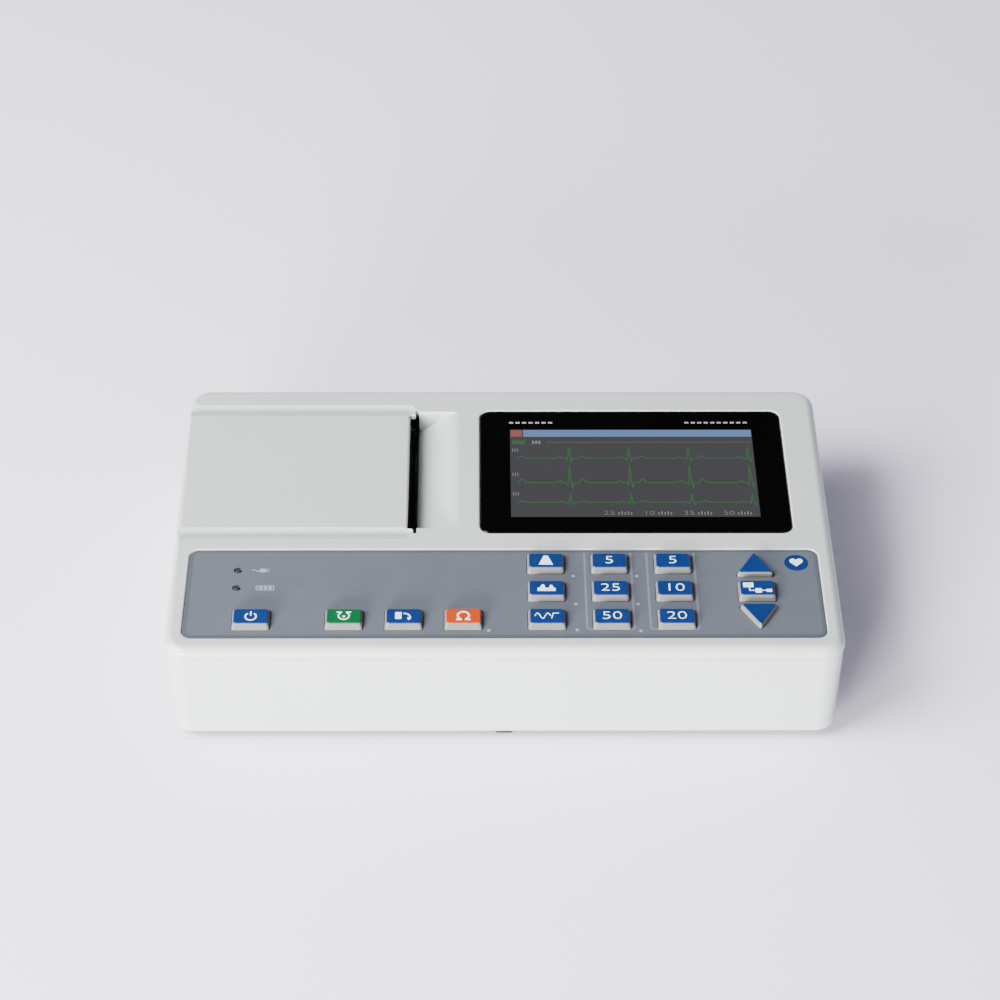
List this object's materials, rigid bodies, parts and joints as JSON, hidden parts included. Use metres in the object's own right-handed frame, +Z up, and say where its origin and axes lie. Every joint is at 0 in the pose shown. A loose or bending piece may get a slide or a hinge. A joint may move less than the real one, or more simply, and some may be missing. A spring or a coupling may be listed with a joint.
{
  "type": "ecg machine",
  "caption": "Flat desktop ECG recorder with colour screen, raised keypad, sliding paper cover, roller and sprung print head.",
  "frame": {"origin": "on the table, under the middle of the housing's outline", "axes": "+X to the user's right along the long side, +Y away from the user, +Z up"},
  "size_m": [0.29, 0.18, 0.0562],
  "materials": {
    "housing": "fine spark texture, warm light grey",
    "label": "satin printed overlay, mid grey",
    "window": "polished black-edged pane",
    "screen": "lit colour panel in a metal frame",
    "key_blue": "printed blue top on light grey sides",
    "key_green": "printed green top on light grey sides",
    "key_orange": "printed orange top on light grey sides",
    "black_plastic": "satin black",
    "tray": "dark grey moulding",
    "lens": "dark tinted light pipe",
    "paper": "folded chart paper",
    "rubber": "matt black rubber",
    "steel": "satin steel",
    "brass": "turned brass",
    "nylon": "natural nylon",
    "circuit_board": "green solder mask",
    "battery": "shrink-wrapped cells",
    "ceramic": "glazed ceramic strip"
  },
  "bodies": {
    "recorder": {"battery_door": "housing", "battery_door_screw": "steel", "battery_light_pipe": "lens", "battery_pack": "battery", "display_window": "window", "earth_stud": "brass", "foot_front_centre": "rubber", "foot_front_left": "rubber", "foot_front_right": "rubber", "foot_rear_left": "rubber", "foot_rear_right": "rubber", "head_pivot_pin": "steel", "head_spring_front": "steel", "head_spring_rear": "steel", "housing_screw_front_left": "steel", "housing_screw_front_right": "steel", "housing_screw_rear_left": "steel", "housing_screw_rear_right": "steel", "idler_axle": "steel", "keypad_board": "circuit_board", "keypad_label": "label", "lcd_module": "screen", "lower_housing": "housing", "main_board": "circuit_board", "mains_inlet": "black_plastic", "mains_light_pipe": "lens", "paper_pack": "paper", "paper_tray": "tray", "patient_connector": "steel", "power_supply": "circuit_board", "stepper_motor": "steel", "upper_housing": "housing", "usb_port": "steel"},
    "cover": {"paper_cover": "housing", "platen_bush_front": "brass", "platen_bush_rear": "brass"},
    "platen": {"platen_shaft": "steel", "platen_rubber": "rubber", "platen_gear": "nylon"},
    "idler": {"idler_gear": "nylon"},
    "pinion": {"motor_pinion": "brass"},
    "print_head_arm": {"print_head": "ceramic", "head_bracket": "steel"},
    "key_power": {"key_power": "key_blue"},
    "key_start": {"key_start": "key_green"},
    "key_copy": {"key_copy": "key_blue"},
    "key_stop": {"key_stop": "key_orange"},
    "key_mode": {"key_mode": "key_blue"},
    "key_lead": {"key_lead": "key_blue"},
    "key_filter": {"key_filter": "key_blue"},
    "key_speed_5": {"key_speed_5": "key_blue"},
    "key_speed_25": {"key_speed_25": "key_blue"},
    "key_speed_50": {"key_speed_50": "key_blue"},
    "key_gain_5": {"key_gain_5": "key_blue"},
    "key_gain_10": {"key_gain_10": "key_blue"},
    "key_gain_20": {"key_gain_20": "key_blue"},
    "key_up": {"key_up": "key_blue"},
    "key_menu": {"key_menu": "key_blue"},
    "key_down": {"key_down": "key_blue"}
  },
  "joints": [
    {"name": "cover_slide", "type": "slide", "parent": "recorder", "child": "cover", "axis": [-1, 0, 0], "range_m": [0, 0.084]},
    {"name": "platen_spin", "type": "hinge", "parent": "cover", "child": "platen", "pos_m": [-0.0455, 0.03, 0.036], "axis": [0, 1, 0], "continuous": true},
    {"name": "idler_spin", "type": "hinge", "parent": "recorder", "child": "idler", "pos_m": [-0.0315, 0.07625, 0.036], "axis": [0, 1, 0], "continuous": true},
    {"name": "pinion_spin", "type": "hinge", "parent": "recorder", "child": "pinion", "pos_m": [-0.0285, 0.07625, 0.02594], "axis": [0, 1, 0], "continuous": true},
    {"name": "head_tilt", "type": "hinge", "parent": "recorder", "child": "print_head_arm", "pos_m": [-0.036, 0.03, 0.0115], "axis": [0, 1, 0], "range_deg": [0, 2.5], "stiffness_Nm_per_rad": 1, "springref_deg": -5.73, "deforming": ["head_spring_front", "head_spring_rear"]},
    {"name": "key_power_press", "type": "slide", "parent": "recorder", "child": "key_power", "axis": [0, 0, -1], "range_m": [0, 0.001], "stiffness_N_per_m": 800, "springref_m": -0.0005},
    {"name": "key_start_press", "type": "slide", "parent": "recorder", "child": "key_start", "axis": [0, 0, -1], "range_m": [0, 0.001], "stiffness_N_per_m": 800, "springref_m": -0.0005},
    {"name": "key_copy_press", "type": "slide", "parent": "recorder", "child": "key_copy", "axis": [0, 0, -1], "range_m": [0, 0.001], "stiffness_N_per_m": 800, "springref_m": -0.0005},
    {"name": "key_stop_press", "type": "slide", "parent": "recorder", "child": "key_stop", "axis": [0, 0, -1], "range_m": [0, 0.001], "stiffness_N_per_m": 800, "springref_m": -0.0005},
    {"name": "key_mode_press", "type": "slide", "parent": "recorder", "child": "key_mode", "axis": [0, 0, -1], "range_m": [0, 0.001], "stiffness_N_per_m": 800, "springref_m": -0.0005},
    {"name": "key_lead_press", "type": "slide", "parent": "recorder", "child": "key_lead", "axis": [0, 0, -1], "range_m": [0, 0.001], "stiffness_N_per_m": 800, "springref_m": -0.0005},
    {"name": "key_filter_press", "type": "slide", "parent": "recorder", "child": "key_filter", "axis": [0, 0, -1], "range_m": [0, 0.001], "stiffness_N_per_m": 800, "springref_m": -0.0005},
    {"name": "key_speed_5_press", "type": "slide", "parent": "recorder", "child": "key_speed_5", "axis": [0, 0, -1], "range_m": [0, 0.001], "stiffness_N_per_m": 800, "springref_m": -0.0005},
    {"name": "key_speed_25_press", "type": "slide", "parent": "recorder", "child": "key_speed_25", "axis": [0, 0, -1], "range_m": [0, 0.001], "stiffness_N_per_m": 800, "springref_m": -0.0005},
    {"name": "key_speed_50_press", "type": "slide", "parent": "recorder", "child": "key_speed_50", "axis": [0, 0, -1], "range_m": [0, 0.001], "stiffness_N_per_m": 800, "springref_m": -0.0005},
    {"name": "key_gain_5_press", "type": "slide", "parent": "recorder", "child": "key_gain_5", "axis": [0, 0, -1], "range_m": [0, 0.001], "stiffness_N_per_m": 800, "springref_m": -0.0005},
    {"name": "key_gain_10_press", "type": "slide", "parent": "recorder", "child": "key_gain_10", "axis": [0, 0, -1], "range_m": [0, 0.001], "stiffness_N_per_m": 800, "springref_m": -0.0005},
    {"name": "key_gain_20_press", "type": "slide", "parent": "recorder", "child": "key_gain_20", "axis": [0, 0, -1], "range_m": [0, 0.001], "stiffness_N_per_m": 800, "springref_m": -0.0005},
    {"name": "key_up_press", "type": "slide", "parent": "recorder", "child": "key_up", "axis": [0, 0, -1], "range_m": [0, 0.001], "stiffness_N_per_m": 800, "springref_m": -0.0005},
    {"name": "key_menu_press", "type": "slide", "parent": "recorder", "child": "key_menu", "axis": [0, 0, -1], "range_m": [0, 0.001], "stiffness_N_per_m": 800, "springref_m": -0.0005},
    {"name": "key_down_press", "type": "slide", "parent": "recorder", "child": "key_down", "axis": [0, 0, -1], "range_m": [0, 0.001], "stiffness_N_per_m": 800, "springref_m": -0.0005}
  ],
  "couplings": [
    {"joint": "idler_spin", "follows": "platen_spin", "ratio": -0.81818},
    {"joint": "pinion_spin", "follows": "platen_spin", "ratio": 2.25}
  ]
}
